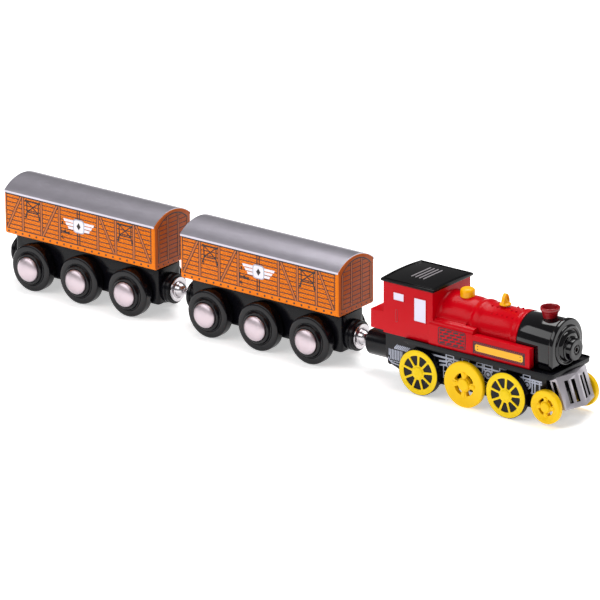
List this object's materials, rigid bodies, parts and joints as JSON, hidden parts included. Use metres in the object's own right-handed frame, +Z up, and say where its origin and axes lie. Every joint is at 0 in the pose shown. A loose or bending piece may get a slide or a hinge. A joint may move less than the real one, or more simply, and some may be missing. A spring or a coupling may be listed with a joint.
{
  "type": "toy train",
  "caption": "Battery toy steam locomotive with a cowcatcher and push-button dome, magnetically coupled to covered wooden goods wagons with arched roofs.",
  "frame": {"origin": "on the rail surface under the middle of the whole train, at rest and straight", "axes": "+X along the train towards the locomotive's nose, +Y to the train's left, +Z up"},
  "size_m": [0.3246, 0.0368, 0.051],
  "materials": {
    "printed_wood": "orange block printed with plank lines, hinges and a door",
    "silver_roof": "satin silver, arched",
    "black_plastic": "satin black",
    "gloss_black": "glossy black",
    "chrome": "polished",
    "nickel": "nickel plated",
    "red_plastic": "glossy red with printed lines",
    "dark_red_plastic": "satin dark red",
    "yellow_plastic": "satin yellow",
    "spoked_black": "black moulding with a painted yellow rim and spokes",
    "amber_plastic": "satin amber",
    "grey_plastic": "satin grey",
    "white_plastic": "natural white",
    "circuit_green": "circuit board",
    "brass": "bright",
    "cell_jacket": "printed foil jacket"
  },
  "bodies": {
    "locomotive": {"loco_frame": "black_plastic", "loco_body": "red_plastic", "loco_cab_roof": "black_plastic", "loco_smokebox": "gloss_black", "loco_chimney": "dark_red_plastic", "loco_bell": "yellow_plastic", "loco_headlamp": "gloss_black", "loco_cowcatcher": "grey_plastic", "loco_battery": "cell_jacket", "loco_motor": "nickel", "loco_switch_board": "circuit_green", "loco_coupling": "black_plastic", "loco_magnet": "nickel"},
    "dome_button": {"loco_dome_button": "yellow_plastic"},
    "pinion": {"loco_pinion": "brass"},
    "drive_wheelset": {"loco_drive_axle": "nickel", "loco_axle_gear": "white_plastic", "loco_drive_left_wheel": "spoked_black", "loco_drive_right_wheel": "spoked_black"},
    "middle_wheelset": {"loco_middle_axle": "nickel", "loco_middle_left_wheel": "amber_plastic", "loco_middle_right_wheel": "amber_plastic"},
    "front_wheelset": {"loco_front_axle": "nickel", "loco_front_left_wheel": "spoked_black", "loco_front_right_wheel": "spoked_black"},
    "pilot_wheelset": {"loco_pilot_axle": "nickel", "loco_pilot_left_wheel": "amber_plastic", "loco_pilot_right_wheel": "amber_plastic"},
    "front_wagon": {"front_wagon_body": "printed_wood", "front_wagon_roof": "silver_roof", "front_wagon_chassis": "black_plastic", "front_wagon_rear_coupling": "black_plastic", "front_wagon_front_coupling": "black_plastic", "front_wagon_rear_magnet": "nickel", "front_wagon_front_magnet": "nickel"},
    "front_wagon_rear_wheelset": {"front_wagon_rear_axle": "chrome", "front_wagon_rear_left_wheel": "gloss_black", "front_wagon_rear_right_wheel": "gloss_black"},
    "front_wagon_middle_wheelset": {"front_wagon_middle_axle": "chrome", "front_wagon_middle_left_wheel": "gloss_black", "front_wagon_middle_right_wheel": "gloss_black"},
    "front_wagon_front_wheelset": {"front_wagon_front_axle": "chrome", "front_wagon_front_left_wheel": "gloss_black", "front_wagon_front_right_wheel": "gloss_black"},
    "rear_wagon": {"rear_wagon_body": "printed_wood", "rear_wagon_roof": "silver_roof", "rear_wagon_chassis": "black_plastic", "rear_wagon_rear_coupling": "black_plastic", "rear_wagon_front_coupling": "black_plastic", "rear_wagon_rear_magnet": "nickel", "rear_wagon_front_magnet": "nickel"},
    "rear_wagon_rear_wheelset": {"rear_wagon_rear_axle": "chrome", "rear_wagon_rear_left_wheel": "gloss_black", "rear_wagon_rear_right_wheel": "gloss_black"},
    "rear_wagon_middle_wheelset": {"rear_wagon_middle_axle": "chrome", "rear_wagon_middle_left_wheel": "gloss_black", "rear_wagon_middle_right_wheel": "gloss_black"},
    "rear_wagon_front_wheelset": {"rear_wagon_front_axle": "chrome", "rear_wagon_front_left_wheel": "gloss_black", "rear_wagon_front_right_wheel": "gloss_black"}
  },
  "joints": [
    {"name": "dome_press", "type": "slide", "parent": "locomotive", "child": "dome_button", "axis": [0, 0, -1], "range_m": [0, 0.001], "stiffness_N_per_m": 100},
    {"name": "drive_wheels_spin", "type": "hinge", "parent": "locomotive", "child": "drive_wheelset", "pos_m": [0.08432, 0, 0.01046], "axis": [0, 1, 0], "continuous": true},
    {"name": "middle_wheels_spin", "type": "hinge", "parent": "locomotive", "child": "middle_wheelset", "pos_m": [0.10912, 0, 0.01046], "axis": [0, 1, 0], "continuous": true},
    {"name": "front_wheels_spin", "type": "hinge", "parent": "locomotive", "child": "front_wheelset", "pos_m": [0.13112, 0, 0.01046], "axis": [0, 1, 0], "continuous": true},
    {"name": "pilot_wheels_spin", "type": "hinge", "parent": "locomotive", "child": "pilot_wheelset", "pos_m": [0.15122, 0, 0.0092], "axis": [0, 1, 0], "continuous": true},
    {"name": "motor_spin", "type": "hinge", "parent": "locomotive", "child": "pinion", "pos_m": [0.08432, 0, 0.01696], "axis": [0, 1, 0], "continuous": true},
    {"name": "front_wagon_turn", "type": "hinge", "parent": "locomotive", "child": "front_wagon", "pos_m": [0.04593, 0, 0.0133], "axis": [0, 0, 1], "range_deg": [-35, 35]},
    {"name": "front_wagon_rear_wheels_spin", "type": "hinge", "parent": "front_wagon", "child": "front_wagon_rear_wheelset", "pos_m": [-0.03488, 0, 0.0112], "axis": [0, 1, 0], "continuous": true},
    {"name": "front_wagon_middle_wheels_spin", "type": "hinge", "parent": "front_wagon", "child": "front_wagon_middle_wheelset", "pos_m": [-0.00617, 0, 0.0112], "axis": [0, 1, 0], "continuous": true},
    {"name": "front_wagon_front_wheels_spin", "type": "hinge", "parent": "front_wagon", "child": "front_wagon_front_wheelset", "pos_m": [0.02252, 0, 0.0112], "axis": [0, 1, 0], "continuous": true},
    {"name": "rear_wagon_turn", "type": "hinge", "parent": "front_wagon", "child": "rear_wagon", "pos_m": [-0.05828, 0, 0.0133], "axis": [0, 0, 1], "range_deg": [-35, 35]},
    {"name": "rear_wagon_rear_wheels_spin", "type": "hinge", "parent": "rear_wagon", "child": "rear_wagon_rear_wheelset", "pos_m": [-0.13908, 0, 0.0112], "axis": [0, 1, 0], "continuous": true},
    {"name": "rear_wagon_middle_wheels_spin", "type": "hinge", "parent": "rear_wagon", "child": "rear_wagon_middle_wheelset", "pos_m": [-0.11038, 0, 0.0112], "axis": [0, 1, 0], "continuous": true},
    {"name": "rear_wagon_front_wheels_spin", "type": "hinge", "parent": "rear_wagon", "child": "rear_wagon_front_wheelset", "pos_m": [-0.08167, 0, 0.0112], "axis": [0, 1, 0], "continuous": true}
  ],
  "couplings": [
    {"joint": "motor_spin", "follows": "drive_wheels_spin", "ratio": -2.25}
  ]
}
